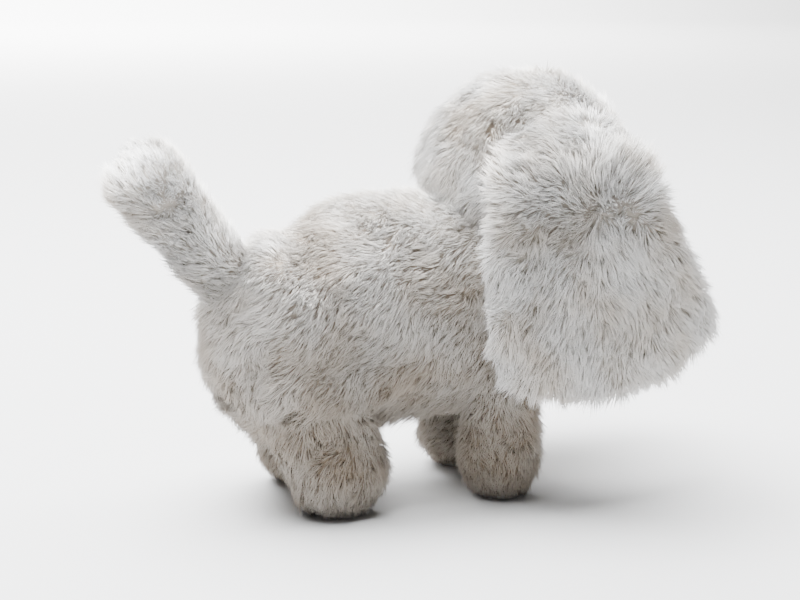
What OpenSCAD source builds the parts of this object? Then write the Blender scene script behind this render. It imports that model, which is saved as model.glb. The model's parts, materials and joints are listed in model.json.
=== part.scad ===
// Battery plush puppy that walks, wags its tail, nods and opens its mouth.
// Nose towards +X, its left side towards +Y, soles on z = 0, lengths in millimetres.

/* [Body] */
// Length from the middle of the rump to the middle of the chest
body_len = 81; // [78:1:84]
// Half width of the plush body
body_half_w = 46; // [45:1:48]
// Height of the middle of the rump above the floor
rump_z = 85; // [84:1:86]
// Height of the middle of the chest above the floor
chest_z = 97; // [96:1:99]

/* [Head] */
// Distance of the head's middle in front of the origin
head_x = 69; // [68:1:70]
// Height of the head's middle above the floor
head_z = 162; // [161:1:164]
// Half length, half width and half height of the head
head_r = [54, 53, 51];
// Travel of the nod, up and down, in degrees
nod_angle = 8; // [2:1:8]

/* [Ears] */
// Distance from the middle plane to the outside of a hanging ear
ear_out = 67; // [65:1:68]
// Height of the lowest corner of an ear
ear_low = 56; // [55:1:60]
// Radius of the rolled seam that an ear turns on
ear_seam_r = 1.6; // [1.2:0.2:1.8]

/* [Legs] */
// Distance from the middle plane to the middle of a foot
foot_y = 28; // [28:1:29]
// Forward place of the front feet
front_foot_x = 46; // [45:1:47]
// Forward place of the rear feet
rear_foot_x = -39; // [-40:1:-38]
// Swing of a leg each way in degrees
leg_swing = 10; // [4:1:10]

/* [Tail] */
// Lean of the tail back from upright in degrees
tail_lean = 38; // [36:1:39]
// Length of the plush tail above its pivot
tail_len = 77; // [74:1:78]
// Swing of the tail each way in degrees
tail_swing = 18; // [4:1:18]

/* [Drive] */
// Distance from hip pin to link pin on a leg lever
lever = 16; // [15:1:17]
// Teeth on the motor pinion
pinion_teeth = 10; // [10:1:10]
// Teeth on the large wheel of the idler gear
idler_teeth = 30; // [30:1:30]
// Teeth on the small wheel of the idler gear
idler_pinion_teeth = 12; // [12:1:12]
// Teeth on the crank wheel
crank_teeth = 36; // [36:1:36]

/* [Hidden] */
$fn = 48;
plush_fn = 24;
gap = 0.3;          // clearance between pieces that do not touch
run = 0.05;         // radial clearance of a pin in its bore
wall = 2;           // wall of the moulded frame

rump_x = -56;
chest_x = rump_x + body_len;
hip_z = 74;
hip_front_x = 46;
hip_rear_x = -54;
hip_r = 3;
link_pin_r = 1.5;
link_z = hip_z + lever;
frame_x = [-68, 51];
frame_z = [62, 112];
frame_y = 19;
disc_y = frame_y + 0.4;     // inner face of a crank disc
disc_t = 1.4;
link_y = 23;                // inner face of a link bar
link_t = 2;
lever_y = 25.4;             // inner face of a leg lever
lever_t = 3;
crank_x = -4;
crank_throw = lever * sin(leg_swing);
neck = [50, 0, 135];
jaw_pivot = [86, 0, 121];
mouth_z = 121.3;
skull = [70, 0, 158];
skull_r = 36;
skull_wall = 2.5;
eye = [115, 20, 166];
eye_r = 7;
nose = [133, 0, 141];
nose_r = 6;
ear_pivot = [70, 45, 193];
tail_pivot = [-80, 0, 106];
tail_dir = [-sin(tail_lean), 0, cos(tail_lean)];
module_mm = 0.8;            // gear module
idler_x = crank_x - module_mm * (crank_teeth + idler_pinion_teeth) / 2 - 0.1;
motor_x = idler_x - module_mm * (idler_teeth + pinion_teeth) / 2 - 0.1;
gear_z = link_z;
battery_x = [-32, 24];
battery_z = [43.5, 61.6];
battery_y = 15.8;
cell_r = 7.1;
switch_x = 31;
speaker_x = 26;

// ---- shared shapes ----

// Rod of radius r along Y between two y values, through x, z
module rod_y(x, z, r, y0, y1) {
  translate([x, y0, z]) rotate([-90, 0, 0]) cylinder(r = r, h = y1 - y0);
}

// Box from its lowest to its highest corner
module span(low, high) {
  translate(low) cube(high - low);
}

// Ellipsoid with middle c and half sizes r
module egg(c, r) {
  translate(c) scale(r) sphere(1, $fn = plush_fn);
}

// Turn a child about a Y axis through point p
module swing_y(p, angle) {
  translate(p) rotate([0, angle, 0]) translate(-p) children();
}

// Mirror a child to the other side of the middle plane for side = -1
module to_side(side) {
  if (side > 0) children();
  else mirror([0, 1, 0]) children();
}

// Straight-toothed gear along Y with a bore, teeth on a circle of module_mm * teeth
module gear(x, z, teeth, bore, y0, y1, phase) {
  pitch_r = module_mm * teeth / 2;
  root_r = pitch_r - 1.25 * module_mm;
  tip_r = pitch_r + 0.85 * module_mm;
  tooth = module_mm * PI;
  translate([x, y0, z]) rotate([-90, phase, 0]) difference() {
    union() {
      cylinder(r = root_r, h = y1 - y0);
      for (k = [0 : teeth - 1])
        rotate([0, 0, k * 360 / teeth]) linear_extrude(height = y1 - y0)
          polygon([[root_r - 0.4, -tooth * 0.30], [pitch_r, -tooth * 0.20], [tip_r, -tooth * 0.10],
                   [tip_r, tooth * 0.10], [pitch_r, tooth * 0.20], [root_r - 0.4, tooth * 0.30]]);
    }
    if (bore > 0) translate([0, 0, -1]) cylinder(r = bore, h = y1 - y0 + 2);
  }
}

// ---- frame ----

module chassis_half(side) {
  color("gainsboro") to_side(side) difference() {
    union() {
      difference() {
        span([frame_x[0], 0.1, frame_z[0]], [frame_x[1], frame_y, frame_z[1]]);
        span([frame_x[0] + wall, -1, frame_z[0] + wall],
             [frame_x[1] - wall, frame_y - wall, frame_z[1] - wall]);
      }
      for (x = [frame_x[0] + 6, frame_x[1] - 6]) for (z = [frame_z[0] + 5, frame_z[1] - 5])
        rod_y(x, z, 3.4, 0.1, frame_y - 1);
    }
    for (x = [frame_x[0] + 6, frame_x[1] - 6]) for (z = [frame_z[0] + 5, frame_z[1] - 5])
      rod_y(x, z, 1.3, -1, side > 0 ? 12 : frame_y + 1);
    rod_y(hip_front_x, hip_z, hip_r + run, -1, frame_y + 1);
    rod_y(hip_rear_x, hip_z, hip_r + run, -1, frame_y + 1);
    rod_y(crank_x, link_z, 2 + run, -1, frame_y + 1);
  }
}

module chassis_screws() {
  color("silver") for (x = [frame_x[0] + 6, frame_x[1] - 6])
    for (z = [frame_z[0] + 5, frame_z[1] - 5]) {
      rod_y(x, z, 1.2, -frame_y - 0.1, 10);
      difference() {
        rod_y(x, z, 2.4, -frame_y - 1.6, -frame_y);
        rod_y(x, z, 0.9, -frame_y - 2, -frame_y - 0.8);
      }
    }
}

module hip_pin(x) {
  color("silver") rod_y(x, hip_z, hip_r, -31, 31);
}

module battery_box() {
  color("whitesmoke") difference() {
    span([battery_x[0], -battery_y, battery_z[0]], [battery_x[1], battery_y, battery_z[1]]);
    span([battery_x[0] + 1.2, -battery_y + 1.2, battery_z[0] - 1],
         [battery_x[1] - 1.2, battery_y - 1.2, battery_z[1] - 1.2]);
  }
}

module battery_cells() {
  for (side = [-1, 1]) {
    color("dimgray") translate([battery_x[0] + 3, side * 7.25, battery_z[0] + 8])
      rotate([0, 90, 0]) cylinder(r = cell_r, h = 48.5);
    color("silver") translate([battery_x[0] + 51.5, side * 7.25, battery_z[0] + 8])
      rotate([0, 90, 0]) cylinder(r = 2.7, h = 1.2);
  }
}

module battery_contacts() {
  color("silver") {
    for (side = [-1, 1])
      translate([battery_x[0] + 1.3, side * 7.25, battery_z[0] + 8])
        rotate([0, 90, 0]) cylinder(r1 = 5, r2 = 3, h = 1.6);
    span([battery_x[1] - 1.9, -12, battery_z[0] + 3], [battery_x[1] - 1.3, 12, battery_z[0] + 13]);
  }
}

module battery_door() {
  color("whitesmoke") difference() {
    union() {
      span([battery_x[0] + 0.5, -battery_y + 0.8, battery_z[0] - 2.2],
           [battery_x[1] - 0.2, battery_y - 0.8, battery_z[0] - 0.1]);
      for (k = [0 : 4])
        span([battery_x[1] - 18 + 2.4 * k, -8, battery_z[0] - 2.8],
             [battery_x[1] - 17 + 2.4 * k, 8, battery_z[0] - 2]);
    }
    translate([battery_x[0] + 7, 0, battery_z[0] - 3]) cylinder(r = 1.5, h = 4);
    translate([battery_x[0] + 7, 0, battery_z[0] - 3]) cylinder(r = 2.9, h = 1.8);
  }
}

module door_screw() {
  color("silver") translate([battery_x[0] + 7, 0, 0]) difference() {
    union() {
      translate([0, 0, battery_z[0] - 2]) cylinder(r = 1.3, h = 2.4);
      translate([0, 0, battery_z[0] - 2.4]) cylinder(r = 2.6, h = 1.1);
    }
    translate([0, 0, battery_z[0] - 2.6]) cylinder(r = 0.9, h = 0.9, $fn = 6);
  }
}

module switch_housing() {
  color("dimgray") difference() {
    span([switch_x - 6, -6, 43.6], [switch_x + 6, 6, frame_z[0] - 0.1]);
    span([switch_x - 4.2, -2.2, 42], [switch_x + 4.2, 2.2, 49]);
  }
}

module switch_slider() {
  color("black") {
    span([switch_x - 3.8, -1.9, 43.8], [switch_x + 0.6, 1.9, 47]);
    span([switch_x - 3, -1.6, 41.8], [switch_x - 0.2, 1.6, 43.9]);
  }
}

// ---- drive ----

module motor() {
  color("silver") difference() {
    union() {
      rod_y(motor_x, gear_z, 7.6, -11.5, 8);
      rod_y(motor_x, gear_z, 3, 7.9, 9);
    }
    rod_y(motor_x, gear_z, 1.1, 4, 10);
  }
}

module motor_pinion() {
  color("goldenrod") {
    rod_y(motor_x, gear_z, 1, 4.5, 16.5);
    gear(motor_x, gear_z, pinion_teeth, 0, 12.2, 15.8, 0);
  }
}

module gearbox_frame() {
  color("gainsboro") {
    difference() {
      span([idler_x - 4, -9, frame_z[0] + wall + 0.2], [idler_x + 4, -6, gear_z + 4]);
      rod_y(idler_x, gear_z, 1.5, -10, 0);
    }
    rod_y(idler_x, gear_z, 1.5, -9, 16.6);
  }
}

module idler_gear() {
  color("ivory") {
    gear(idler_x, gear_z, idler_teeth, 1.5 + run, 12.4, 15.6, 6);
    gear(idler_x, gear_z, idler_pinion_teeth, 1.5 + run, 6, 12.4, 0);
  }
}

module crank_shaft() {
  color("silver") rod_y(crank_x, link_z, 2, -disc_y - disc_t, disc_y + disc_t);
}

module final_gear() {
  color("ivory") gear(crank_x, gear_z, crank_teeth, 2, 6.4, 11, 5);
}

module crank_disc(side) {
  color("ivory") to_side(side) {
    difference() {
      rod_y(crank_x, link_z, 7, disc_y, disc_y + disc_t);
      rod_y(crank_x, link_z, 2, disc_y - 1, disc_y + 3);
    }
    rod_y(crank_x, link_z + side * crank_throw, 1.5, disc_y + disc_t - 0.2, link_y - 0.4);
  }
}

module link_bar(side) {
  color("ivory") to_side(side) difference() {
    union() {
      span([hip_rear_x, link_y, link_z - 4], [hip_front_x, link_y + link_t, link_z + 4]);
      span([crank_x - 5, link_y, link_z - 7.5], [crank_x + 5, link_y + link_t, link_z + 7.5]);
      for (x = [hip_rear_x, hip_front_x]) rod_y(x, link_z, 4, link_y, link_y + link_t);
    }
    for (x = [hip_rear_x, hip_front_x])
      rod_y(x, link_z, link_pin_r + run, link_y - 1, link_y + link_t + 1);
    span([crank_x - 1.65, link_y - 1, link_z - 4.6], [crank_x + 1.65, link_y + link_t + 1, link_z + 4.6]);
  }
}

// ---- electronics ----

module circuit_board() {
  color("seagreen") difference() {
    span([4, -14, frame_z[0] + 4], [40, 14, frame_z[0] + 5.6]);
    for (x = [7, 37]) for (y = [-11, 11])
      translate([x, y, frame_z[0] + 3]) cylinder(r = 1.2, h = 4);
  }
  color("black") span([15, -5, frame_z[0] + 5.5], [27, 5, frame_z[0] + 7.6]);
}

module speaker_frame() {
  color("dimgray") translate([speaker_x, 0, frame_z[1] - wall - 6]) difference() {
    union() {
      cylinder(r = 13.5, h = 5.8);
      translate([0, 0, -3]) cylinder(r = 7, h = 3.1);
    }
    translate([0, 0, 1.2]) cylinder(r = 12.3, h = 6);
  }
}

module speaker_cone() {
  color("black") translate([speaker_x, 0, frame_z[1] - wall - 4.6]) difference() {
    cylinder(r1 = 6, r2 = 12, h = 3.4);
    translate([0, 0, 0.6]) cylinder(r1 = 5.6, r2 = 11.8, h = 3.4);
  }
}

module touch_button() {
  color("gainsboro") translate([-30, 0, 0]) {
    translate([0, 0, frame_z[1] + 0.4 + 1.6]) cylinder(r = 11, h = 4);
    translate([0, 0, frame_z[1] + 1.4 + 0.8]) cylinder(r = 3, h = 1);
  }
}

// ---- brackets ----

module neck_bracket() {
  color("gainsboro") difference() {
    union() {
      for (side = [-1, 1]) to_side(side) {
        span([42, 9.4, frame_z[1] + 2], [neck.x + 5, 12.4, neck.z]);
        rod_y(neck.x, neck.z, 6, 9.4, 12.4);
      }
      span([30, -12.4, frame_z[1] + 0.1], [neck.x + 5, 12.4, frame_z[1] + 3]);
    }
    rod_y(neck.x, neck.z, 3 + run, -20, 20);
  }
}

module neck_pin() {
  color("silver") rod_y(neck.x, neck.z, 3, -13.4, 13.4);
}

module tail_axis() {
  translate(tail_pivot) rotate([0, 90 - tail_lean, 0]) children();
}

module tail_bracket() {
  color("gainsboro") {
    span([tail_pivot.x - 2, -5, 96], [frame_x[0] - 0.1, 5, 99]);
    tail_axis() {
      for (z = [-7.4, 4.4]) translate([0, 0, z]) cylinder(r = 5, h = 3);
      translate([0, 0, -7.2]) cylinder(r = 2, h = 14.4);
    }
    span([tail_pivot.x - 7, -4, 96], [tail_pivot.x - 4, 4, 103]);
  }
}

// ---- plush body ----

module body_outer() {
  hull() {
    egg([rump_x, 0, rump_z], [46, body_half_w, 51]);
    egg([chest_x, 0, chest_z], [54, body_half_w, 57]);
  }
}

module front_leg_outer() {
  hull() {
    egg([front_foot_x, foot_y, 20], [20.5, 19.5, 20]);
    egg([front_foot_x, foot_y + 6, 50], [20, 13, 14]);
  }
}

module rear_leg_outer() {
  hull() {
    egg([rear_foot_x, foot_y, 20], [23, 19, 20]);
    egg([rear_foot_x - 16, foot_y + 7, 52], [29, 12.5, 16]);
  }
}

// Space swept by the legs, with clearance
module leg_sweep(side) {
  to_side(side) {
    hull() for (a = [-leg_swing - 0.5, leg_swing + 0.5])
      swing_y([hip_front_x, 0, hip_z], a) {
        egg([front_foot_x, foot_y, 24], [22, 22, 22]);
        egg([front_foot_x, foot_y + 6, 52], [22.5, 17, 17]);
      }
    hull() for (a = [-leg_swing - 0.5, leg_swing + 0.5])
      swing_y([hip_rear_x, 0, hip_z], a) {
        egg([rear_foot_x, foot_y, 24], [25, 22, 22]);
        egg([rear_foot_x - 16, foot_y + 6, 54], [31, 17, 19]);
      }
    // hip levers and bosses
    span([hip_front_x - 16, frame_y - 1, 40], [hip_front_x + 16, 33.5, hip_z + 8]);
    span([hip_rear_x - 16, frame_y - 1, 40], [hip_rear_x + 16, 33.5, hip_z + 8]);
  }
}

module mechanism_space() {
  span([frame_x[0] - 1, -frame_y - 2, frame_z[0] - 1], [frame_x[1] + 1, frame_y + 2, frame_z[1] + 1]);
  span([hip_rear_x - 7, -32, frame_z[0] - 1], [hip_front_x + 7, 32, link_z + 8]);
  span([battery_x[0] - 1, -battery_y - 1, 20], [battery_x[1] + 1, battery_y + 1, frame_z[0]]);
  span([switch_x - 7, -7, 20], [switch_x + 7, 7, frame_z[0]]);
  translate([-30, 0, frame_z[1]]) cylinder(r = 12.5, h = 7);
  span([28, -14, frame_z[1]], [neck.x + 9, 14, 160]);
  span([tail_pivot.x - 9, -8, 92], [frame_x[0], 8, 116]);
}

module neck_sweep() {
  hull() for (a = [-nod_angle - 0.5, nod_angle + 0.5])
    swing_y(neck, a) {
      egg([head_x, 0, head_z], head_r + [2, 2, 2]);
      egg([102, 0, 112], [26, 23, 15]);
    }
}

module tail_outer() {
  middle = tail_pivot + tail_dir * (tail_len - 24);
  hull() {
    egg(tail_pivot + tail_dir * 6, [15, 15, 15]);
    egg(middle, [16.5, 16.5, 16.5]);
  }
  hull() {
    egg(middle, [16.5, 16.5, 16.5]);
    egg(tail_pivot + tail_dir * tail_len, [19, 21, 19]);
  }
}

module tail_sweep() {
  hull() for (a = [-tail_swing - 1, tail_swing + 1])
    tail_axis() rotate([0, 0, a]) rotate([0, tail_lean - 90, 0]) {
      egg(tail_dir * 6, [17, 17, 17]);
      egg(tail_dir * 40, [19, 19, 19]);
    }
}

module body_skin() {
  difference() {
    body_outer();
    mechanism_space();
    leg_sweep(1);
    leg_sweep(-1);
    neck_sweep();
    tail_sweep();
  }
}

module body_plush(side) {
  color("white") intersection() {
    body_skin();
    to_side(side) span([-120, 0.1, 58], [120, 60, 170]);
  }
}

module belly_plush() {
  color("white") intersection() {
    body_skin();
    span([-120, -60, 20], [120, 60, 57.7]);
  }
}

// ---- legs ----

// Lever with hip boss and link pin, in front or rear place
module leg_core(hip_x, foot_x, side) {
  color("ivory") to_side(side) difference() {
    union() {
      rod_y(hip_x, hip_z, 6, frame_y + 2, 30);
      span([hip_x - 4, lever_y, hip_z], [hip_x + 4, lever_y + lever_t, link_z]);
      rod_y(hip_x, link_z, 4, lever_y, lever_y + lever_t);
      rod_y(hip_x, link_z, link_pin_r, link_y - 0.2, lever_y + 1);
      translate([hip_x, 0, hip_z]) rotate([0, atan2(foot_x - hip_x, 16 - hip_z), 0])
        span([-6, lever_y, 0], [6, lever_y + 4, norm([foot_x - hip_x, hip_z - 16])]);
      translate([foot_x, foot_y, 6]) cylinder(r = 9, h = 14);
    }
    rod_y(hip_x, hip_z, hip_r + run, 0, 40);
  }
}

// Cavity of a plush sleeve round its lever
module leg_hollow(hip_x, foot_x) {
  rod_y(hip_x, hip_z, 7, frame_y - 2, 31);
  translate([hip_x, 0, hip_z]) rotate([0, atan2(foot_x - hip_x, 16 - hip_z), 0])
    span([-6.4, lever_y - 0.4, 0], [6.4, lever_y + 4.4, norm([foot_x - hip_x, hip_z - 16]) + 0.5]);
  translate([foot_x, foot_y, -1]) cylinder(r = 9.3, h = 21.3);
  span([foot_x - 30, -10, -5], [foot_x + 30, 60, 2.9]);
}

module front_plush(side) {
  color("white") to_side(side) difference() {
    front_leg_outer();
    leg_hollow(hip_front_x, front_foot_x);
  }
}

module rear_plush(side) {
  color("white") to_side(side) difference() {
    rear_leg_outer();
    leg_hollow(hip_rear_x, rear_foot_x);
  }
}

module sole(foot_x, side) {
  color("dimgray") to_side(side) {
    translate([foot_x, foot_y, 0]) cylinder(r = 11, h = 2.6);
    translate([foot_x, foot_y, 2.5]) cylinder(r = 8.5, h = 3.4);
  }
}

// ---- head ----

module skull_half(side) {
  color("gainsboro") to_side(side) difference() {
    union() {
      difference() {
        translate(skull) sphere(skull_r);
        translate(skull) sphere(skull_r - skull_wall);
        span([30, -40, 110], [74, 40, 150]);
      }
      span([neck.x, 5, neck.z - 4], [96, 9, neck.z + 4]);
      rod_y(neck.x, neck.z, 6, 5, 9);
      span([80, 14, 118.5], [93, 16.6, 141]);
      rod_y(jaw_pivot.x, jaw_pivot.z, 3.5, 14, 16.6);
    }
    span([0, -60, 80], [150, 0.1, 230]);
    rod_y(neck.x, neck.z, 3 + run, -1, 12);
    rod_y(jaw_pivot.x, jaw_pivot.z, 2 + run, -1, 20);
    span([89, 4, neck.z - 8], [97, 13.9, neck.z - 4.1]);
  }
}

module jaw_pin() {
  color("silver") rod_y(jaw_pivot.x, jaw_pivot.z, 2, -17.4, 17.4);
}

module head_plush() {
  color("white") difference() {
    union() {
      egg([head_x, 0, head_z], head_r);
      egg([106, 0, 132], [31, 27, 21]);
    }
    translate(skull) sphere(skull_r + gap, $fn = 32);
    span([26, -15, 100], [80, 15, 152]);
    span([74, -18, 100], [98, 18, 142]);
    span([80, -40, 80], [150, 40, mouth_z]);
    for (side = [-1, 1])
      translate([eye.x - eye_r - gap, side * eye.y, eye.z])
        rotate([0, 90, 0]) cylinder(r = eye_r + gap, h = 20);
    translate(nose) sphere(nose_r + gap);
  }
}

module eye_ball(side) {
  color("black") translate([eye.x, side * eye.y, eye.z]) sphere(eye_r);
}

module nose_ball() {
  color("dimgray") translate(nose) sphere(nose_r);
}

module jaw_core() {
  color("gainsboro") difference() {
    union() {
      span([88, -13, 108], [114, 13, 112]);
      for (side = [-1, 1]) to_side(side) {
        span([82, 10, 108], [92, 13, jaw_pivot.z]);
        rod_y(jaw_pivot.x, jaw_pivot.z, 4, 10, 13);
      }
    }
    rod_y(jaw_pivot.x, jaw_pivot.z, 2 + run, -20, 20);
  }
}

module jaw_plush() {
  color("white") difference() {
    egg([103, 0, 113], [24, 20, 11]);
    span([60, -40, 117.5], [150, 40, 140]);
    span([60, -40, 90], [90, 40, 140]);
    span([84, -13.4, 107.6], [114.4, 13.4, 112.4]);
    span([84, -13.4, 107.6], [93, 13.4, 130]);
  }
}

module tongue() {
  color("lightcoral") hull() {
    translate([97, 0, 117.8]) cylinder(r = 5, h = 2.6, $fn = 32);
    translate([116, 0, 117.8]) cylinder(r = 7, h = 2.2, $fn = 32);
  }
}

// ---- ears ----

// Corners of the hanging ear: forward, height, distance from the middle plane
ear_outline = [
  [36, 172, -16], [29, 140, -8], [32, 105, -8], [44, ear_low + 10, -7], [84, ear_low + 5, -7],
  [112, ear_low + 9, -7], [141, 87, -7], [134, 112, -8], [118, 145, -10], [105, 180, -20],
  [90, 188, -22], [50, 186, -22]
];

module ear(side) {
  color("white") to_side(side) difference() {
    union() {
      hull() for (p = ear_outline)
        translate([p.x, ear_out + p.z, p.y]) scale([5, 7, 5]) sphere(1, $fn = 12);
      translate([ear_pivot.x - 16, ear_pivot.y, ear_pivot.z])
        rotate([0, 90, 0]) cylinder(r = ear_seam_r, h = 32);
    }
    egg([head_x, 0, head_z], head_r + [0.8, 0.8, 0.8]);
  }
}

// ---- tail ----

module tail_core() {
  color("gainsboro") difference() {
    union() {
      tail_axis() translate([0, 0, -4]) cylinder(r = 5, h = 8);
      translate(tail_pivot) rotate([0, -tail_lean, 0]) translate([0, 0, 3]) cylinder(r = 3.4, h = 40);
    }
    tail_axis() translate([0, 0, -8]) cylinder(r = 2 + run, h = 16);
  }
}

module tail_plush() {
  color("white") difference() {
    tail_outer();
    translate(tail_pivot) rotate([0, -tail_lean, 0]) translate([0, 0, -20]) cylinder(r = 3.7, h = 63.4);
    translate(tail_pivot) rotate([0, -tail_lean, 0]) translate([0, 0, -30]) cylinder(r = 14, h = 39);
  }
}

chassis_half(1);  // chassis_left
chassis_half(-1);  // chassis_right
chassis_screws();
battery_box();
battery_cells();
battery_contacts();
battery_door();
door_screw();
switch_housing();
switch_slider();
motor();
motor_pinion();
gearbox_frame();
idler_gear();
crank_shaft();
final_gear();
crank_disc(1);  // crank_disc_left
crank_disc(-1);  // crank_disc_right
link_bar(1);  // link_bar_left
link_bar(-1);  // link_bar_right
hip_pin(hip_front_x);  // hip_pin_front
hip_pin(hip_rear_x);  // hip_pin_rear
circuit_board();
speaker_frame();
speaker_cone();
touch_button();
neck_bracket();
neck_pin();
tail_bracket();
body_plush(1);  // body_plush_left
body_plush(-1);  // body_plush_right
belly_plush();
leg_core(hip_front_x, front_foot_x, 1);  // front_left_core
front_plush(1);  // front_left_plush
sole(front_foot_x, 1);  // front_left_sole
leg_core(hip_front_x, front_foot_x, -1);  // front_right_core
front_plush(-1);  // front_right_plush
sole(front_foot_x, -1);  // front_right_sole
leg_core(hip_rear_x, rear_foot_x, 1);  // rear_left_core
rear_plush(1);  // rear_left_plush
sole(rear_foot_x, 1);  // rear_left_sole
leg_core(hip_rear_x, rear_foot_x, -1);  // rear_right_core
rear_plush(-1);  // rear_right_plush
sole(rear_foot_x, -1);  // rear_right_sole
skull_half(1);  // skull_left
skull_half(-1);  // skull_right
head_plush();
eye_ball(1);  // eye_left
eye_ball(-1);  // eye_right
nose_ball();  // nose
jaw_pin();
jaw_core();
jaw_plush();
tongue();
ear(1);  // ear_left
ear(-1);  // ear_right
tail_core();
tail_plush();
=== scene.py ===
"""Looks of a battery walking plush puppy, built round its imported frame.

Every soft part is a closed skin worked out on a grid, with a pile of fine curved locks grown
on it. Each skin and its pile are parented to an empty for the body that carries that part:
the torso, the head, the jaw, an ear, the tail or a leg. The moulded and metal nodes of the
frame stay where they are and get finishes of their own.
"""

import json
import logging
import math
from dataclasses import dataclass, field
from enum import Enum
from typing import Sequence

import bpy
import numpy as np
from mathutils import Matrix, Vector


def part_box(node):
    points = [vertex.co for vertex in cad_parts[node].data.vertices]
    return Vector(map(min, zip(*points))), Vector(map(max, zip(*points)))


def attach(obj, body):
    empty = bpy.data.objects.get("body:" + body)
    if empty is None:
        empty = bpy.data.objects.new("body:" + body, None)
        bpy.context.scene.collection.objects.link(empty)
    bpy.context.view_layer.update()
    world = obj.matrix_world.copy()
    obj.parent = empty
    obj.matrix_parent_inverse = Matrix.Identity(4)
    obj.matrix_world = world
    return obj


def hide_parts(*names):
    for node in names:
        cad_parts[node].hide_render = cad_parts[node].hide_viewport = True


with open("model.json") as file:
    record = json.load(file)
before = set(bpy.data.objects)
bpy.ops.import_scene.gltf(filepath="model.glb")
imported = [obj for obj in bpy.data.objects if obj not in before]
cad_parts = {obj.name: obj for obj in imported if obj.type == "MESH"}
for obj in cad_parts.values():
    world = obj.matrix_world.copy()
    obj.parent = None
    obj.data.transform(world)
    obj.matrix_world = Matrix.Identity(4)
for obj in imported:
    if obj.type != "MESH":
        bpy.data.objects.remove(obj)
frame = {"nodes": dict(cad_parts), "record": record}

LOG = logging.getLogger("puppy")
Array = np.ndarray

Triple = tuple[float, float, float]
Colour = Triple
Material = bpy.types.Material
Socket = bpy.types.NodeSocket
Node = bpy.types.Node
Piece = bpy.types.Object

MM = 0.001
TURN = 2 * math.pi
PILE_ATTRIBUTE = "pile"
TONE_ATTRIBUTE = "tone"
VERTICES_PER_LOCK = 5
TRIANGLES_PER_LOCK = 6
LARGEST_PIECE = 190_000
DOWN_AXES = np.array([[0, 0, -1.0], [1.0, 0, 0], [0, 1.0, 0]])


class Side(Enum):
    """Which side of the middle plane a part lies on."""

    LEFT = 1
    RIGHT = -1

    @property
    def word(self) -> str:
        """The side's name as the frame's nodes spell it."""
        return self.name.lower()


class End(Enum):
    """Which pair of legs a leg belongs to."""

    FRONT = "front"
    REAR = "rear"


# ---------------------------------------------------------------- arrays


def unit(vectors: Array) -> Array:
    """Vectors scaled to length one."""
    return vectors / np.maximum(np.linalg.norm(vectors, axis=-1, keepdims=True), 1e-12)


def tangent(vectors: Array, normal: Array) -> Array:
    """The part of each vector that lies in the skin, square to its normal."""
    return vectors - np.sum(vectors * normal, 1, keepdims=True) * normal


def smoothstep(low: float, high: float, value: Array) -> Array:
    """A smooth rise from 0 at low to 1 at high, 3t² - 2t³ between them."""
    t = np.clip((value - low) / (high - low), 0.0, 1.0)
    return t * t * (3.0 - 2.0 * t)


def lattice_hash(cells: Array, seed: int) -> Array:
    """Three random numbers from -1 to 1 for each lattice cell, from its whole numbers.

    Args:
        cells: Rows of three whole numbers.
        seed: Picks the pattern.

    Returns:
        Three numbers for each row.
    """
    mask = 0xFFFFFFFF
    key = cells[:, 0] * 73856093 ^ cells[:, 1] * 19349663 ^ cells[:, 2] * 83492791 ^ seed * 668265263
    mixed = (key[:, None] + np.arange(1, 4) * 374761393) & mask
    mixed = ((mixed ^ (mixed >> 15)) * 73244475) & mask
    mixed = ((mixed ^ (mixed >> 13)) * 73244475) & mask
    return (mixed ^ (mixed >> 16)) / 2147483648.0 - 1.0


def clump_centres(points: Array, cell: float, seed: int) -> Array:
    """The nearest clump centre to each point, with one centre strewn in each cubic cell.

    Args:
        points: Places in metres.
        cell: Size of a cell in metres.
        seed: Picks the pattern.

    Returns:
        A centre for each point.
    """
    base = np.floor(points / cell).astype(np.int64)
    best = np.zeros_like(points)
    least = np.full(len(points), np.inf)
    for step in np.ndindex(3, 3, 3):
        at = base + np.array(step) - 1
        centre = (at + 0.5 + 0.45 * lattice_hash(at, seed)) * cell
        gap = np.sum((centre - points) ** 2, axis=1)
        nearer = gap < least
        best[nearer], least[nearer] = centre[nearer], gap[nearer]
    return best


def lattice_noise(points: Array, cell: float, seed: int) -> Array:
    """Soft random vectors that vary over space, from -1 to 1.

    A hash gives each corner of a cubic lattice three numbers, and a point takes the mix of
    its cell's eight corners, weighted by smoothsteps of its place in the cell.

    Args:
        points: Places in metres.
        cell: Size of a lattice cell in metres.
        seed: Picks the pattern.

    Returns:
        Three numbers for each point.
    """
    scaled = points / cell
    base = np.floor(scaled).astype(np.int64)
    part = scaled - base
    weight = part * part * (3.0 - 2.0 * part)
    total = np.zeros_like(points)
    for step in np.ndindex(2, 2, 2):
        share = np.prod(np.where(np.array(step) == 1, weight, 1.0 - weight), axis=1, keepdims=True)
        total += share * lattice_hash(base + np.array(step), seed)
    return total


def ellipsoid_reach(origin: Array, directions: Array, centre: Array, radii: Array) -> Array:
    """How far a ray goes before it leaves an ellipsoid, or 0 where it misses it.

    The ray and the ellipsoid are scaled until the ellipsoid is a unit sphere, and the larger
    root of the quadratic is the way out.

    Args:
        origin: Where the rays start: one point, or one for each direction.
        directions: Unit directions.
        centre: Middle of the ellipsoid.
        radii: Its three half sizes.

    Returns:
        One distance for each direction.
    """
    start = (origin - centre) / radii
    step = directions / radii
    a = np.sum(step * step, axis=-1)
    b = np.sum(step * start, axis=-1)
    c = np.sum(start * start, axis=-1) - 1.0
    under = b * b - a * c
    out = (-b + np.sqrt(np.maximum(under, 0.0))) / a
    return np.where(under > 0.0, np.maximum(out, 0.0), 0.0)


def corner(node: str, high: bool) -> Array:
    """The lowest or highest corner of a frame node, in metres."""
    return np.array(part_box(node)[1 if high else 0], float)


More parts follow.
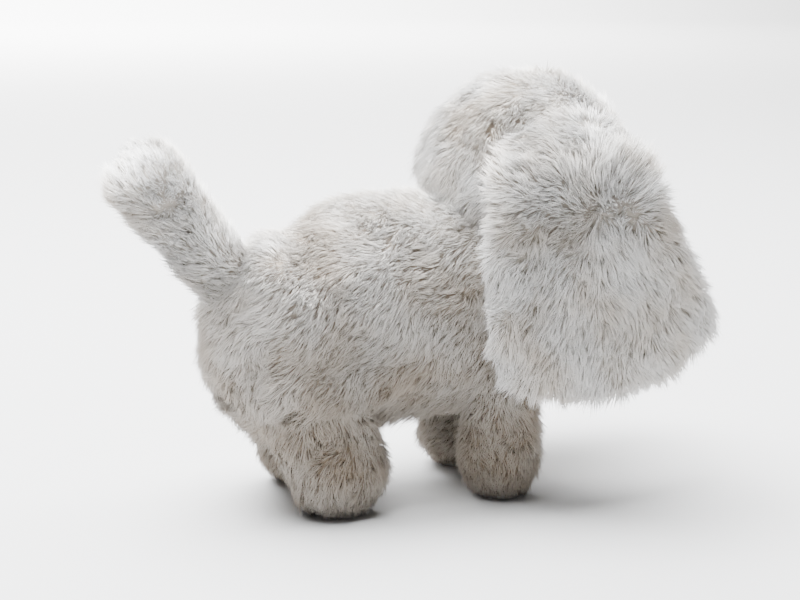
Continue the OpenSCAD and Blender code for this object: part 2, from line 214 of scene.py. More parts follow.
def corners(node: str) -> tuple[Array, Array]:
    """Both corners of a frame node, in metres."""
    return corner(node, False), corner(node, True)


def squeeze_poles(points: Array) -> Array:
    """Draws the first and last rows of a grid to their middles, and gives the grid back."""
    points[0], points[-1] = points[0].mean(0), points[-1].mean(0)
    return points


def turns(count: int) -> Array:
    """Angles spread evenly over one turn, without the last."""
    return np.linspace(0.0, TURN, count, endpoint=False)


def joint_at(name: str) -> Array:
    """The place of a joint in the record, in metres."""
    joints = frame["record"]["behaviour"]["joints"]
    return np.array(next(j["pos_m"] for j in joints if j["name"] == name), float)


# ---------------------------------------------------------------- meshes


@dataclass
class Skin:
    """A closed surface on a grid that runs from one pole to the other.

    Attributes:
        points: Rows by columns by three. Each pole is a row whose points all coincide.
    """

    points: Array

    def vertices(self) -> Array:
        """The grid's own vertices, with each pole once."""
        inner = self.points[1:-1].reshape(-1, 3)
        return np.vstack([self.points[0, :1], inner, self.points[-1, :1]])

    def triangles(self) -> Array:
        """Triangles over the vertices: two for each cell, and a fan round each pole."""
        rows, cols = self.points.shape[:2]
        ring = np.arange(cols)
        after = (ring + 1) % cols
        first = 1 + np.arange(rows - 3)[:, None] * cols
        a, b = first + ring, first + after
        c, d = b + cols, a + cols
        cells = np.concatenate(
            [np.stack([a, b, c], -1).reshape(-1, 3), np.stack([a, c, d], -1).reshape(-1, 3)]
        )
        last = 1 + (rows - 3) * cols
        foot = np.full(cols, last + cols)
        top = np.stack([np.zeros(cols, int), 1 + after, 1 + ring], -1)
        end = np.stack([foot, last + ring, last + after], -1)
        faces = np.concatenate([top, cells, end])
        return faces if self.volume(faces) > 0 else faces[:, ::-1]

    def volume(self, faces: Array) -> float:
        """Signed volume that the faces enclose: positive where they point outwards.

        Args:
            faces: Triangles over the vertices.

        Returns:
            Cubic metres.
        """
        v = self.vertices()
        return float(np.einsum("ij,ij->i", v[faces[:, 0]], np.cross(v[faces[:, 1]], v[faces[:, 2]])).sum())

    def vertex_normals(self, faces: Array) -> Array:
        """Unit normals at the vertices, each the sum of its faces' cross products."""
        v = self.vertices()
        cross = np.cross(v[faces[:, 1]] - v[faces[:, 0]], v[faces[:, 2]] - v[faces[:, 0]])
        total = np.zeros_like(v)
        for k in range(3):
            np.add.at(total, faces[:, k], cross)
        return unit(total)

    def build(self, name: str, material: Material) -> Piece:
        """Makes the skin a Blender mesh.

        Args:
            name: The piece's name.
            material: Its finish.

        Returns:
            The new object, at the origin.
        """
        return mesh_piece(name, self.vertices(), self.triangles(), material)


def mesh_piece(
    name: str, vertices: Array, faces: Array, material: Material, smooth: bool = True
) -> Piece:
    """A mesh object at the origin from arrays.

    Args:
        name: The piece's name.
        vertices: Rows of three, in metres.
        faces: Rows of three or four vertex numbers.
        material: Its finish.
        smooth: Whether its faces are shaded smooth.

    Returns:
        The new object.
    """
    mesh = bpy.data.meshes.new(name)
    count, corners = faces.shape
    mesh.vertices.add(len(vertices))
    mesh.vertices.foreach_set("co", np.ascontiguousarray(vertices, np.float32).ravel())
    mesh.loops.add(count * corners)
    mesh.loops.foreach_set("vertex_index", np.ascontiguousarray(faces, np.int32).ravel())
    mesh.polygons.add(count)
    mesh.polygons.foreach_set("loop_start", np.arange(count, dtype=np.int32) * corners)
    mesh.polygons.foreach_set("use_smooth", np.full(count, smooth))
    mesh.update(calc_edges=True)
    mesh.validate()
    mesh.materials.append(material)
    piece = bpy.data.objects.new(name, mesh)
    bpy.context.scene.collection.objects.link(piece)
    return piece


def capsule(stations: Sequence[tuple[Array, Array]], frame_axes: Array, rows: int, cols: int) -> Skin:
    """A closed skin carried along a line of ellipse sections with a round cap at each end.

    Between the first and last station the middle and the half sizes follow a smooth curve
    through the stations. Each cap is half an ellipsoid. A column is an angle round the axis.

    Args:
        stations: Middles, and half sizes along the axis and the two cross directions.
        frame_axes: Three unit rows: the axis and the two cross directions.
        rows: Grid rows along the whole length.
        cols: Grid columns round it.

    Returns:
        The skin.
    """
    axis, across, up = frame_axes
    middles = np.array([s[0] for s in stations])
    radii = np.array([s[1] for s in stations])
    cap = rows // 3
    body = rows - 2 * cap
    place = np.linspace(0.0, len(stations) - 1.0, body)
    knots = np.arange(len(stations), dtype=float)
    columns = np.hstack([middles, radii]).T
    curve = hermite if len(stations) > 2 else lambda knots, values, at: np.interp(at, knots, values)
    ease = np.stack([curve(knots, column, place) for column in columns], -1)
    first = np.linspace(math.pi, math.pi / 2, cap, endpoint=False)
    last = np.linspace(math.pi / 2, 0.0, cap + 1)[1:]
    line = np.vstack([np.repeat(ease[:1], cap, 0), ease, np.repeat(ease[-1:], cap, 0)])
    angle = np.concatenate([first, np.full(body, math.pi / 2), last])
    turn = turns(cols)
    forward = (line[:, 3] * np.cos(angle))[:, None, None] * axis
    spread = np.sin(angle)[:, None, None]
    side = spread * line[:, 4, None, None] * np.cos(turn)[None, :, None] * across
    rise = spread * line[:, 5, None, None] * np.sin(turn)[None, :, None] * up
    return Skin(line[:, None, :3] + forward + side + rise)


def hermite(knots: Array, values: Array, at: Array) -> Array:
    """A smooth curve through values at knots, with the slopes of a Catmull-Rom spline.

    Args:
        knots: Rising places of the values.
        values: One value for each knot.
        at: Where the curve is wanted.

    Returns:
        The curve's values.
    """
    slopes = np.gradient(values, knots)
    k = np.clip(np.searchsorted(knots, at, side="right") - 1, 0, len(knots) - 2)
    width = knots[k + 1] - knots[k]
    t = (at - knots[k]) / width
    h00 = (1 + 2 * t) * (1 - t) ** 2
    h10 = t * (1 - t) ** 2
    h01 = t * t * (3 - 2 * t)
    h11 = t * t * (t - 1)
    bend = h10 * slopes[k] + h11 * slopes[k + 1]
    return h00 * values[k] + h01 * values[k + 1] + bend * width


# ---------------------------------------------------------------- pile


@dataclass(frozen=True)
class Pile:
    """A pile of fine bent locks, drawn together into wisps.

    Attributes:
        density: Locks for each square millimetre.
        length: Length of a lock in metres.
        lift: Share of the length that stands off the skin at the tip.
        width: Half width of a lock at its middle, in metres.
        sway: How far soft noise carries a tip sideways, in metres.
        tangle: How far each tip strays on its own, in metres.
        wisp: Spacing of the wisps in metres.
        pull: Share of the way that a tip is drawn to its wisp's middle.
        sunk: How far a root lies under the skin, in metres.
        floor: The least height of a tip, in metres.
    """

    density: float = 1.86
    length: float = 8.5 * MM
    lift: float = 0.5
    width: float = 0.2 * MM
    sway: float = 1.8 * MM
    tangle: float = 0.8 * MM
    wisp: float = 4.2 * MM
    pull: float = 0.45
    sunk: float = 0.9 * MM
    floor: float = 0.3 * MM

    def grow(
        self,
        name: str,
        skin: Skin,
        part: "SoftPart",
        material: Material,
        seed: int,
    ) -> list[Piece]:
        """Grows the pile on a skin.

        Roots are drawn evenly over the skin's area. A lock is a spindle: a point at the root
        just under the skin, a flat three-cornered ring part of the way along, and a point at
        the tip. The ring stands nearly upright over the root, and the tip leans along the
        combed direction, so that each lock bends over.

        Args:
            name: Name of the first piece. Further pieces get a number.
            skin: Where the roots are.
            part: Says which way the pile is combed, where it grows and how long.
            material: The locks' finish.
            seed: Picks the random draws.

        Returns:
            The new pieces, each under the largest size.
        """
        rng = np.random.default_rng(seed)
        faces = skin.triangles()
        v = skin.vertices()
        normals = skin.vertex_normals(faces)
        a, b, c = v[faces[:, 0]], v[faces[:, 1]], v[faces[:, 2]]
        area = 0.5 * np.linalg.norm(np.cross(b - a, c - a), axis=1)
        count = int(area.sum() / MM**2 * self.density)
        pick = rng.choice(len(faces), count, p=area / area.sum())
        r1, r2 = np.sqrt(rng.random(count)), rng.random(count)
        mix = np.stack([1 - r1, r1 * (1 - r2), r1 * r2], -1)[:, :, None]
        root = (np.stack([a[pick], b[pick], c[pick]], 1) * mix).sum(1)
        normal = unit((normals[faces[pick]] * mix).sum(1))
        grown = rng.random(count) < part.keep(root, normal)
        root, normal = root[grown], normal[grown]
        count = len(root)
        length = self.length * (0.75 + 0.5 * rng.random(count))
        length = length * (1.0 + 0.3 * lattice_noise(root, 9 * MM, seed + 6)[:, 0])
        length = length * part.scale(root, normal)
        comb = part.flow(root, normal) + 0.75 * lattice_noise(root, 17 * MM, seed + 1)
        comb = comb + 0.5 * lattice_noise(root, 6 * MM, seed + 2)
        comb = tangent(comb, normal)
        comb = comb / np.maximum(np.linalg.norm(comb, axis=1, keepdims=True), 0.6)
        share = (length / self.length)[:, None]
        drift = self.sway * lattice_noise(root, 8 * MM, seed + 3) * share
        gather = clump_centres(root, self.wisp, seed + 4) - root
        gather = gather + 0.35 * (clump_centres(root, 2.4 * self.wisp, seed + 5) - root)
        drift = drift + self.pull * tangent(gather, normal) * share
        stray = rng.normal(0.0, self.tangle, (count, 3)) * share
        lift = self.lift * (0.85 + 0.3 * rng.random(count))[:, None]
        long = length[:, None]
        middle = root + normal * (0.5 * long * lift) + comb * (0.24 * long) + 0.3 * drift + 0.3 * stray
        tip = root + normal * (long * lift) + comb * (0.8 * long) + drift + stray
        below = np.sum((tip - root) * normal, 1, keepdims=True)
        tip = tip + normal * np.maximum(0.2 * long - below, 0.0)
        middle[:, 2] = np.maximum(middle[:, 2], self.floor + 0.2 * MM)
        tip[:, 2] = np.maximum(tip[:, 2], self.floor)
        base = root - normal * self.sunk
        along = unit(tip - base)
        side = unit(np.cross(along, normal + 0.3 * stray / self.tangle))
        face = np.cross(side, along)
        width = (self.width * (0.7 + 0.6 * rng.random(count)))[:, None]
        ring = [middle + side * width, middle - side * width, middle + face * width * 0.8]
        verts = np.stack([base, *ring, tip], 1).reshape(-1, 3)
        pattern = np.array([[0, 2, 1], [0, 3, 2], [0, 1, 3], [4, 1, 2], [4, 2, 3], [4, 3, 1]])
        faces = (np.arange(count)[:, None, None] * VERTICES_PER_LOCK + pattern).reshape(-1, 3)
        pile = np.tile(np.array([0.0, 0.5, 0.5, 0.55, 1.0]), count)
        tone = np.repeat(rng.random(count), VERTICES_PER_LOCK)
        return self.pieces(name, verts, faces, pile, tone, material)

    def pieces(
        self, name: str, verts: Array, faces: Array, pile: Array, tone: Array, material: Material
    ) -> list[Piece]:
        """Cuts a pile into pieces of bounded size and builds them.

        Args:
            name: Name of the first piece.
            verts: Five vertices for each lock.
            faces: Six triangles for each lock.
            pile: Height along the lock at each vertex, from 0 to 1.
            tone: A random number for each lock, at each vertex.
            material: The locks' finish.

        Returns:
            The new pieces.
        """
        count = len(verts) // VERTICES_PER_LOCK
        parts = max(1, math.ceil(count * TRIANGLES_PER_LOCK / LARGEST_PIECE))
        edges = np.linspace(0, count, parts + 1).astype(int)
        made = []
        for k, (low, high) in enumerate(zip(edges[:-1], edges[1:])):
            own = slice(low * VERTICES_PER_LOCK, high * VERTICES_PER_LOCK)
            own_faces = faces[low * TRIANGLES_PER_LOCK : high * TRIANGLES_PER_LOCK] - own.start
            label = name if k == 0 else f"{name}_{k + 1}"
            piece = mesh_piece(label, verts[own], own_faces, material)
            for label, values in ((PILE_ATTRIBUTE, pile[own]), (TONE_ATTRIBUTE, tone[own])):
                layer = piece.data.attributes.new(label, "FLOAT", "POINT")
                layer.data.foreach_set("value", np.ascontiguousarray(values, np.float32))
            made.append(piece)
        return made


# ---------------------------------------------------------------- finishes


def new_material(name: str) -> tuple[Material, Node]:
    """A node material with one Principled shader.

    Args:
        name: The material's name.

    Returns:
        The material and its shader node.
    """
    material = bpy.data.materials.new(name)
    material.use_nodes = True
    return material, material.node_tree.nodes["Principled BSDF"]


def add(nodes: bpy.types.Nodes, kind: str, operation: str = "", **inputs: object) -> Node:
    """A new shader node.

    Args:
        nodes: The tree's nodes.
        kind: The node's type, without its leading ShaderNode.
        operation: What a math node does.
        inputs: Default values by socket name, with _ for a space, or i and a number.

    Returns:
        The node.
    """
    node = nodes.new(f"ShaderNode{kind}")
    if operation:
        node.operation = operation
    for label, value in inputs.items():
        key = int(label[1:]) if label[1:].isdigit() else label.replace("_", " ")
        node.inputs[key].default_value = value
    return node


def wire(tree: bpy.types.NodeTree, *pairs: tuple[Socket, Socket]) -> None:
    """Joins pairs of sockets, each an output and an input."""
    for source, target in pairs:
        tree.links.new(source, target)


def multiply(nodes: bpy.types.Nodes, by: Colour) -> Node:
    """A node that multiplies a colour by another, as far as its factor says."""
    node = add(nodes, "Mix")
    node.data_type, node.blend_type = "RGBA", "MULTIPLY"
    node.inputs["B"].default_value = (*by, 1.0)
    return node


def mottle_group() -> bpy.types.NodeTree:
    """A group that breaks up a colour with soft clouds and fine grain, and gives a height.

    The clouds are noise of a few centimetres and the grain is noise of a millimetre or less,
    both in Object coordinates. They brighten and darken the colour by a few hundredths.

    Returns:
        The group, made once.
    """
    known = bpy.data.node_groups.get("mottle")
    if known:
        return known
    group = bpy.data.node_groups.new("mottle", "ShaderNodeTree")
    for label, kind, default in (
        ("Color", "NodeSocketColor", (0.5, 0.5, 0.5, 1.0)),
        ("Cloud Scale", "NodeSocketFloat", 40.0),
        ("Grain Scale", "NodeSocketFloat", 900.0),
        ("Strength", "NodeSocketFloat", 0.1),
    ):
        socket = group.interface.new_socket(label, in_out="INPUT", socket_type=kind)
        socket.default_value = default
    group.interface.new_socket("Color", in_out="OUTPUT", socket_type="NodeSocketColor")
    group.interface.new_socket("Height", in_out="OUTPUT", socket_type="NodeSocketFloat")
    nodes = group.nodes
    source, sink = nodes.new("NodeGroupInput"), nodes.new("NodeGroupOutput")
    place = add(nodes, "TexCoord")
    cloud, grain = add(nodes, "TexNoise", Detail=3.0), add(nodes, "TexNoise", Detail=2.0)
    both = add(nodes, "Math", "MULTIPLY_ADD", i1=0.5)
    shift = add(nodes, "Math", "SUBTRACT", i1=0.75)
    gain = add(nodes, "Math", "MULTIPLY_ADD", i2=1.0)
    tint = add(nodes, "VectorMath", "SCALE")
    for noise, label in ((cloud, "Cloud Scale"), (grain, "Grain Scale")):
        wire(
            group,
            (place.outputs["Object"], noise.inputs["Vector"]),
            (source.outputs[label], noise.inputs["Scale"]),
        )
    wire(
        group,
        (grain.outputs["Fac"], both.inputs[0]),
        (cloud.outputs["Fac"], both.inputs[2]),
        (both.outputs[0], shift.inputs[0]),
        (shift.outputs[0], gain.inputs[0]),
        (source.outputs["Strength"], gain.inputs[1]),
        (source.outputs["Color"], tint.inputs[0]),
        (gain.outputs[0], tint.inputs["Scale"]),
        (tint.outputs[0], sink.inputs["Color"]),
        (grain.outputs["Fac"], sink.inputs["Height"]),
    )
    return group


@dataclass(frozen=True)
class PlushFinish:
    """White pile: warmer and a little darker at the roots and in soft random patches. The roots
    are darker as painted shade between the locks, and the lower parts are darker and warmer
    as painted shade towards the floor.

    Attributes:
        name: The material's name.
        root: Colour at the skin, darker and warmer than the tips as painted shade between the locks.
        tip: Colour at the tips.
        patch: What the colour is multiplied by in the warmest patches.
        low: What it is multiplied by at the floor, fading out towards the back: painted shade,
            darker and warmer towards the bottom.
        fade: Heights where the painted low shade begins and where it is full, in metres.
        sheen: Strength of the soft edge light.
    """

    name: str
    root: Colour = (0.60, 0.55, 0.49)
    tip: Colour = (0.86, 0.853, 0.84)
    patch: Colour = (0.82, 0.76, 0.69)
    low: Colour = (0.52, 0.47, 0.415)
    fade: tuple[float, float] = (0.165, 0.045)
    sheen: float = 0.2

    def make(self) -> Material:
        """Builds the material.

        Returns:
            The material.
        """
        material, shader = new_material(self.name)
        nodes = material.node_tree.nodes
        pile, tone = add(nodes, "Attribute"), add(nodes, "Attribute")
        pile.attribute_name, tone.attribute_name = PILE_ATTRIBUTE, TONE_ATTRIBUTE
        # painted shade: the ramp runs from the dark warm root colour to the white tip colour, standing in
        # for the shade in the valleys between the locks
        ramp = add(nodes, "ValToRGB")
        root, tip = ramp.color_ramp.elements
        root.color, tip.color, tip.position = (*self.root, 1.0), (*self.tip, 1.0), 0.65
        place, split = add(nodes, "TexCoord"), add(nodes, "SeparateXYZ")
        cloud = add(nodes, "TexNoise", Scale=30.0, Detail=3.0)
        warm = add(nodes, "MapRange", From_Min=0.42, From_Max=0.68)
        height = add(nodes, "MapRange", From_Min=self.fade[0], From_Max=self.fade[1])
        # painted shade: the low multiply darkens and warms the pile towards the floor, standing in for the
        # shade low on the body and legs
        patch, painted_low_shade = multiply(nodes, self.patch), multiply(nodes, self.low)
        spread = add(nodes, "Math", "MULTIPLY_ADD", i1=0.12, i2=0.9)
        tint = add(nodes, "VectorMath", "SCALE")
        wire(
            material.node_tree,
            (pile.outputs["Fac"], ramp.inputs["Fac"]),
            (place.outputs["Object"], cloud.inputs["Vector"]),
            (cloud.outputs["Fac"], warm.inputs["Value"]),
            (warm.outputs["Result"], patch.inputs["Factor"]),
            (ramp.outputs["Color"], patch.inputs["A"]),
            (tone.outputs["Fac"], spread.inputs[0]),
            (place.outputs["Object"], split.inputs["Vector"]),
            (split.outputs["Z"], height.inputs["Value"]),
            (height.outputs["Result"], painted_low_shade.inputs["Factor"]),
            (patch.outputs["Result"], painted_low_shade.inputs["A"]),
            (painted_low_shade.outputs["Result"], tint.inputs[0]),
            (spread.outputs[0], tint.inputs["Scale"]),
            (tint.outputs[0], shader.inputs["Base Color"]),
        )
        shader.inputs["Roughness"].default_value = 0.92
        shader.inputs["Sheen Weight"].default_value = self.sheen
        shader.inputs["Sheen Roughness"].default_value = 0.5
        shader.inputs["Specular IOR Level"].default_value = 0.12
        return material


@dataclass(frozen=True)
class GrainFinish:
    """A moulded, metal or felt surface with soft clouds, fine grain and a little relief.

    Attributes:
        name: The material's name.
        colour: Its colour.
        roughness: How matt it is.
        metallic: 1 for metal.
        grain: Scale of the fine grain, in cycles for each metre.
        strength: How far the colour varies.
        relief: Strength of the bump.
        coat: Weight of a clear coat.
        sheen: Strength of the soft edge light.
        specular: Strength of the plain reflection, 0.5 for common plastic.
    """

    name: str
    colour: Colour
    roughness: float = 0.5
    metallic: float = 0.0
    grain: float = 1500.0
    strength: float = 0.1
    relief: float = 0.15
    coat: float = 0.0
    sheen: float = 0.0
    specular: float = 0.5

    def make(self) -> Material:
        """Builds the material.

        Returns:
            The material.
        """
        material, shader = new_material(self.name)
        nodes = material.node_tree.nodes
        mottle = add(nodes, "Group")
        mottle.node_tree = mottle_group()
        for label, value in (
            ("Color", (*self.colour, 1.0)),
            ("Cloud Scale", 60.0),
            ("Grain Scale", self.grain),
            ("Strength", self.strength),
        ):
            mottle.inputs[label].default_value = value
        bump = add(nodes, "Bump", Strength=self.relief, Distance=0.1 * MM)
        smooth, matt = max(self.roughness - 0.08, 0.02), min(self.roughness + 0.08, 1.0)
        rough = add(nodes, "MapRange", To_Min=smooth, To_Max=matt)
        wire(
            material.node_tree,
            (mottle.outputs["Color"], shader.inputs["Base Color"]),
            (mottle.outputs["Height"], bump.inputs["Height"]),
            (mottle.outputs["Height"], rough.inputs["Value"]),
            (rough.outputs["Result"], shader.inputs["Roughness"]),
            (bump.outputs["Normal"], shader.inputs["Normal"]),
        )
        shader.inputs["Metallic"].default_value = self.metallic
        shader.inputs["Coat Weight"].default_value = self.coat
        shader.inputs["Sheen Weight"].default_value = self.sheen
        shader.inputs["Specular IOR Level"].default_value = self.specular
        return material


@dataclass
class Wardrobe:
    """Every finish, made once and shared by the parts."""

    pile: dict[str, Material] = field(init=False)
    rim: Material = field(init=False)
    slots: dict[str, Material] = field(init=False)

    def __post_init__(self) -> None:
        """Makes the finishes, with one for each of the record's slots."""
        # The ear pile is darker overall than the body's. Its low multiply is above one: painted light,
        # brightening the pile towards the bottom of the ear.
        ear = PlushFinish(
            "ear_pile", root=(0.46, 0.42, 0.37), tip=(0.72, 0.71, 0.695), low=(1.16, 1.15, 1.14)
        )
        self.pile = {"plush": PlushFinish("plush_pile").make(), "ear_plush": ear.make()}
        self.rim = GrainFinish(
            "rim_felt", (0.10, 0.075, 0.06), 0.9, grain=1600.0, strength=0.3, relief=0.6
        ).make()
        plans = (
            GrainFinish("frame_plastic", (0.74, 0.74, 0.72), 0.5, relief=0.1),
            GrainFinish("white_plastic", (0.82, 0.82, 0.80), 0.38, grain=2500.0, relief=0.2),
            GrainFinish("steel", (0.6, 0.6, 0.61), 0.3, 1.0, 3000.0, 0.2, 0.1),
            GrainFinish("battery_wrap", (0.06, 0.062, 0.07), 0.3, strength=0.2, coat=0.4),
            GrainFinish("contact_metal", (0.72, 0.71, 0.69), 0.22, 1.0, 2200.0, 0.2, 0.1),
            GrainFinish("black_plastic", (0.03, 0.03, 0.032), 0.45, strength=0.3, relief=0.3),
            GrainFinish("brass_gear", (0.78, 0.6, 0.3), 0.3, 1.0, 2600.0, 0.2, 0.1),
            GrainFinish("gear_plastic", (0.84, 0.82, 0.74), 0.42, relief=0.08),
            GrainFinish("board", (0.03, 0.22, 0.09), 0.35, strength=0.3, coat=0.3),
            GrainFinish("speaker_paper", (0.05, 0.05, 0.05), 0.9, grain=900.0, strength=0.4, relief=0.5),
            GrainFinish("sole_rubber", (0.38, 0.36, 0.335), 0.75, grain=1800.0, strength=0.3, relief=0.5),
            GrainFinish("eye_gloss", (0.016, 0.010, 0.007), 0.14, strength=0.3, relief=0.0, specular=0.22),
            GrainFinish("nose_plastic", (0.02, 0.017, 0.016), 0.45, strength=0.3, relief=0.6, specular=0.2),
            GrainFinish("tongue_felt", (0.7, 0.27, 0.29), 0.9, grain=1400.0, relief=0.6, sheen=0.3),
        )
        self.slots = {plan.name: plan.make() for plan in plans}


# ---------------------------------------------------------------- soft parts


@dataclass
class SoftPart:
    """What every soft part shares: how its skin and pile are built and bound to the frame.

    Attributes:
        wardrobe: The finishes.
        seed: Picks the random draws of its pile.
        pile: The pile that grows on it.
        fill: How tightly it is stuffed; not used.
        slot: The record's slot.
        neighbour: The part that hides some of it.
    """

    wardrobe: Wardrobe
    seed: int = 1
    pile: Pile = Pile()
    fill: float = 0.7
    slot: str = "plush"
    neighbour: "SoftPart | None" = None

    def depth(self, points: Array) -> Array:
        """How deep points lie inside the skin: below 1 inside, above 1 outside."""
        raise NotImplementedError

    def skin(self) -> Skin:
        """The closed skin."""
        raise NotImplementedError

    def flow(self, root: Array, normal: Array) -> Array:
        """The combed direction at roots with normals."""
        raise NotImplementedError

    def keep(self, root: Array, normal: Array) -> Array:
        """The share of roots that grow, from 0 to 1."""
        raise NotImplementedError

    def scale(self, root: Array, normal: Array) -> Array:
        """A factor on the pile's length."""
        return np.ones(len(root))

    def dress(self, name: str, body: str, *nodes: str) -> None:
        """Builds the skin and pile and binds both to the frame.

        Args:
            name: Stem of the pieces' names.
            body: The body they ride on.
            nodes: Frame nodes that the skin stands for.
        """
        skin = self.skin()
        finish = self.wardrobe.pile[self.slot]
        cover = skin.build(f"{name}_skin", finish)
        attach(cover, body)
        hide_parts(*nodes)
        tufts = self.pile.grow(f"{name}_pile", skin, self, finish, self.seed)
        for tuft in tufts:
            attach(tuft, body)
        locks = sum(len(t.data.vertices) for t in tufts) // VERTICES_PER_LOCK
        LOG.info("%s: skin and %d locks in %d pieces on %s", name, locks, len(tufts), body)


@dataclass
class Torso(SoftPart):
    """The plush body, from rump to chest, with an opening in the belly for the battery door.

    Attributes:
        inset: How far the skin lies under the frame's soft solids.
        rump: Half sizes of the rump.
        chest: Half sizes of the chest.
        haunch: Half sizes of the pad over the top of each rear leg.
        fullness: How much lower the flanks hang than an ellipse.
        door_gap: How far the belly opening is pushed in above the door.
    """

    seed: int = 11
    inset: float = 2.8 * MM
    rump: Triple = (0.046, 0.046, 0.051)
    chest: Triple = (0.054, 0.046, 0.057)
    haunch: Triple = (0.0315, 0.0190, 0.0205)
    fullness: float = 6.5 * MM
    door_gap: float = 4.5 * MM

    def middles(self) -> tuple[Array, Array]:
        """Middles of the rump and the chest.

        Returns:
            Two points in metres.
        """
        low = corner("body_plush_left", False)
        rump = np.array([low[0] + self.rump[0], 0.0, 0.085])
        return rump, rump + np.array([0.081, 0.0, 0.012])

    def haunches(self) -> list[tuple[Array, Array]]:
        """Middles and half sizes of the two pads that cover the tops of the rear legs."""
        size = np.array(self.haunch) - self.inset
        pads = []
        for side in Side:
            hip = joint_at(f"hip_rear_{side.word}")
            pads.append((np.array([hip[0] - 0.001, side.value * 0.0285, hip[2] - 0.0085]), size))
        return pads

    def depth(self, points: Array) -> Array:
        """How deep points lie inside the skin: below 1 inside, above 1 outside.

        The section at a point's x is an ellipse whose middle and half sizes run straight from
        rump to chest. Points in a haunch count as inside too.

        Args:
            points: Places in metres.

        Returns:
            The distance from the axis as a share of the section's half size.
        """
        rump, chest = self.middles()
        t = np.clip((points[:, 0] - rump[0]) / (chest[0] - rump[0]), 0.0, 1.0)[:, None]
        middle = rump + (chest - rump) * t
        radii = np.array(self.rump) * (1 - t) + np.array(self.chest) * t - self.inset
        off = (points - middle) / radii
        off[:, 0] = np.where((t[:, 0] > 0) & (t[:, 0] < 1), 0.0, off[:, 0])
        pads = [np.linalg.norm((points - c) / r, axis=1) for c, r in self.haunches()]
        return np.minimum.reduce([np.linalg.norm(off, axis=1), *pads])

    def opening(self, points: Array) -> Array:
        """How far points lie within the belly opening, from 0 outside to 1 inside."""
        low, high = corner("battery_door", False), corner("switch_housing", True)
        half_y = corner("battery_door", True)[1] + 1.5 * MM
        edge = 3.0 * MM
        along = smoothstep(low[0] - 2 * edge, low[0] - edge, points[:, 0])
        along = along * (1 - smoothstep(high[0] + edge, high[0] + 2 * edge, points[:, 0]))
        across = 1 - smoothstep(half_y, half_y + edge, np.abs(points[:, 1]))
        return along * across * (points[:, 2] < 0.06)

    def skin(self) -> Skin:
        """The body skin: an ellipse section from rump to chest, fuller low down.

        Away from its core line it reaches as far as the section or a haunch, whichever is
        farther, joined by a power mean. The belly is pushed in at the opening.

        Returns:
            The closed skin.
        """
        rump, chest = self.middles()
        loin = (rump + chest) / 2 + np.array([-0.010, 0.0, 0.003])
        stations = [
            (rump, np.array(self.rump) - self.inset),
            (loin, (np.array(self.rump) + np.array(self.chest)) / 2 + [0, 0, 0.0045] - self.inset),
            (chest, np.array(self.chest) - self.inset),
        ]
        made = capsule(stations, np.eye(3), 108, 120)
        flat = made.points.reshape(-1, 3)
        t = np.clip((flat[:, 0] - rump[0]) / (chest[0] - rump[0]), 0.0, 1.0)
        middle = rump[2] + (chest[2] - rump[2]) * t
        across = np.abs(flat[:, 1]) / self.rump[1]
        low = smoothstep(0.0, -0.02, flat[:, 2] - middle)
        flat[:, 2] -= self.fullness * low * across**1.4 * np.clip(1.9 - 1.9 * across, 0.0, 1.0)
        core = np.stack([np.clip(flat[:, 0], rump[0], chest[0]), 0 * t, middle], -1)
        reach = np.linalg.norm(flat - core, axis=1)
        way = unit(flat - core)
        order = 16.0
        wider = sum(ellipsoid_reach(core, way, c, r) ** order for c, r in self.haunches())
        flat = core + way * ((reach**order + wider) ** (1 / order))[:, None]
        wave = lattice_noise(flat, 34 * MM, 5)[:, 0] * 1.6 * MM
        away = flat - np.array([0.0, 0.0, 0.09])
        away[:, 0] = 0.0
        flat = flat + unit(away) * wave[:, None]
        door = corner("battery_door", False)[2]
        pushed = np.maximum(flat[:, 2], door + self.door_gap)
        flat[:, 2] += (pushed - flat[:, 2]) * self.opening(flat)
        return Skin(squeeze_poles(flat.reshape(made.points.shape)))

    def flow(self, root: Array, normal: Array) -> Array:
        """Combed back and down along the flanks, and outwards under the belly."""
        out = np.zeros_like(root)
        out[:, 0] = -0.8
        out[:, 2] = -0.75 + 0.35 * np.clip(normal[:, 2], 0, 1)
        out[:, 1] = 0.35 * np.sign(root[:, 1]) * np.abs(normal[:, 1])
        return out

    def keep(self, root: Array, normal: Array) -> Array:
        """No pile in the belly opening, nor deep inside the head."""
        hidden = self.neighbour.depth(root) < 0.86
        return (1 - np.clip(self.opening(root) * 1.5, 0, 1)) * ~hidden

    def scale(self, root: Array, normal: Array) -> Array:
        """Shorter on the belly, and longer at the edge of its opening."""
        edge = smoothstep(0.034, 0.022, np.abs(root[:, 1])) * (root[:, 2] < 0.06)
        return 1.0 - 0.2 * smoothstep(-0.2, -0.8, normal[:, 2]) + 0.35 * edge

    def build(self) -> None:
        """Builds the body and its pile."""
        self.dress("body", "torso", "body_plush_left", "body_plush_right", "belly_plush")


